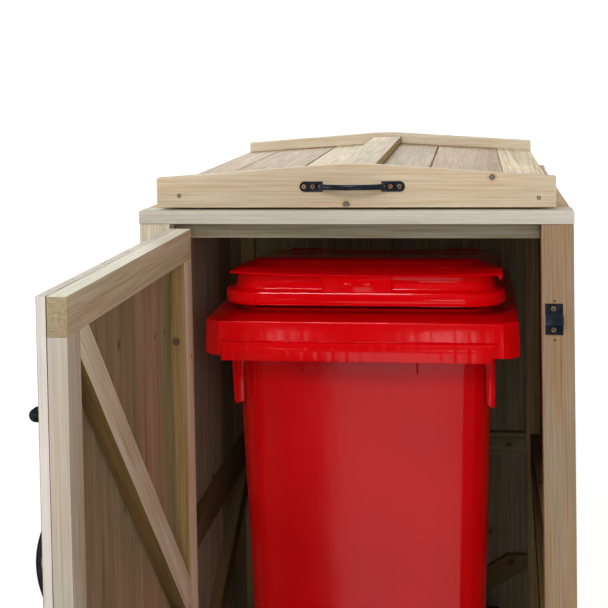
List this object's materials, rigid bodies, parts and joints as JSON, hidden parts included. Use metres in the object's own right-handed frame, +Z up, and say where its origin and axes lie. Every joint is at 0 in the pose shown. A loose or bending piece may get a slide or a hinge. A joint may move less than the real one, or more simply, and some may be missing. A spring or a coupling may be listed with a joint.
{
  "type": "litter bin store",
  "caption": "Timber store with a braced side-hung door, a low pitched lift-up roof lid and a red wheeled litter bin standing inside.",
  "frame": {"origin": "on the ground, at the middle of the underside of the back foot rail", "axes": "+Z up, the door side faces -Y, +X to the right seen from the door side"},
  "size_m": [0.78, 1.6944, 1.303],
  "materials": {
    "pine_frame": "planed pressure-treated pine, untreated surface, slight green and pink tints, knots",
    "pine_boards": "tongue and groove pine boards, matt, brown and green tints",
    "pine_roof": "planed pine roof boards and fascias, matt, honey coloured",
    "black_steel": "black coated steel, satin",
    "zinc_steel": "zinc plated steel, satin",
    "red_plastic": "moulded red polyethylene, semi-gloss",
    "wheel_rubber": "black solid rubber, matt"
  },
  "bodies": {
    "store": {"back_foot_rail": "pine_frame", "back_mid_ledge": "pine_frame", "back_top_ledge": "pine_frame", "back_wall_boards": "pine_boards", "back_wall_brace": "pine_frame", "bolt_keep": "black_steel", "door_head_rail": "pine_frame", "door_hinge_leaf_lower": "black_steel", "door_hinge_leaf_upper": "black_steel", "front_post_left": "pine_frame", "front_post_right": "pine_frame", "left_foot_rail": "pine_frame", "left_mid_ledge": "pine_frame", "left_top_ledge": "pine_frame", "left_wall_boards": "pine_boards", "left_wall_brace": "pine_frame", "lid_hinge_leaf_lower_left": "zinc_steel", "lid_hinge_leaf_lower_right": "zinc_steel", "rear_post_left": "pine_frame", "rear_post_right": "pine_frame", "right_foot_rail": "pine_frame", "right_mid_ledge": "pine_frame", "right_top_ledge": "pine_frame", "right_wall_boards": "pine_boards", "right_wall_brace": "pine_frame", "roof_frame_front": "pine_frame", "roof_frame_left": "pine_frame", "roof_frame_rear": "pine_frame", "roof_frame_right": "pine_frame"},
    "roof_lid": {"lid_front_fascia": "pine_roof", "lid_rear_fascia": "pine_roof", "left_roof_boards": "pine_roof", "right_roof_boards": "pine_roof", "ridge_cap": "pine_roof", "lid_front_batten": "pine_frame", "lid_rear_batten": "pine_frame", "lid_left_batten": "pine_frame", "lid_right_batten": "pine_frame", "lid_hinge_leaf_upper_left": "zinc_steel", "lid_hinge_leaf_upper_right": "zinc_steel", "lid_pull": "black_steel"},
    "door": {"door_boards": "pine_boards", "door_top_ledge": "pine_frame", "door_mid_ledge": "pine_frame", "door_bottom_ledge": "pine_frame", "door_hinge_stile": "pine_frame", "door_closing_stile": "pine_frame", "door_upper_brace": "pine_frame", "door_lower_brace": "pine_frame", "door_hinge_strap_lower": "black_steel", "door_hinge_strap_upper": "black_steel", "bolt_barrel": "black_steel", "door_pull": "black_steel"},
    "bolt": {"bolt_rod": "black_steel"},
    "bin": {"bin_body": "red_plastic", "bin_axle": "zinc_steel", "bin_hinge_rod": "zinc_steel"},
    "bin_lid": {"bin_lid": "red_plastic"},
    "wheel_left": {"bin_wheel_left": "wheel_rubber"},
    "wheel_right": {"bin_wheel_right": "wheel_rubber"}
  },
  "joints": [
    {"name": "roof_lift", "type": "hinge", "parent": "store", "child": "roof_lid", "pos_m": [0, 0.0465, 1.2221], "axis": [-1, 0, 0], "range_deg": [0, 80]},
    {"name": "door_swing", "type": "hinge", "parent": "store", "child": "door", "pos_m": [-0.3365, -0.9335, 0.6], "axis": [0, 0, -1], "range_deg": [-91.4, 83.6]},
    {"name": "bolt_slide", "type": "slide", "parent": "door", "child": "bolt", "axis": [-0.0244, -0.9997, 0], "range_m": [0, 0.034]},
    {"name": "bin_roll_out", "type": "slide", "parent": "store", "child": "bin", "axis": [0, -1, 0], "range_m": [0, 0.9]},
    {"name": "bin_lid_lift", "type": "hinge", "parent": "bin", "child": "bin_lid", "pos_m": [0.001, -0.1555, 1.03], "axis": [-1, 0, 0], "range_deg": [0, 72]},
    {"name": "wheel_left_spin", "type": "hinge", "parent": "bin", "child": "wheel_left", "pos_m": [-0.244, -0.2255, 0.1], "axis": [1, 0, 0], "continuous": true},
    {"name": "wheel_right_spin", "type": "hinge", "parent": "bin", "child": "wheel_right", "pos_m": [0.246, -0.2255, 0.1], "axis": [1, 0, 0], "continuous": true}
  ],
  "couplings": [
    {"joint": "bin_lid_lift", "follows": "roof_lift", "ratio": 0.9}
  ]
}
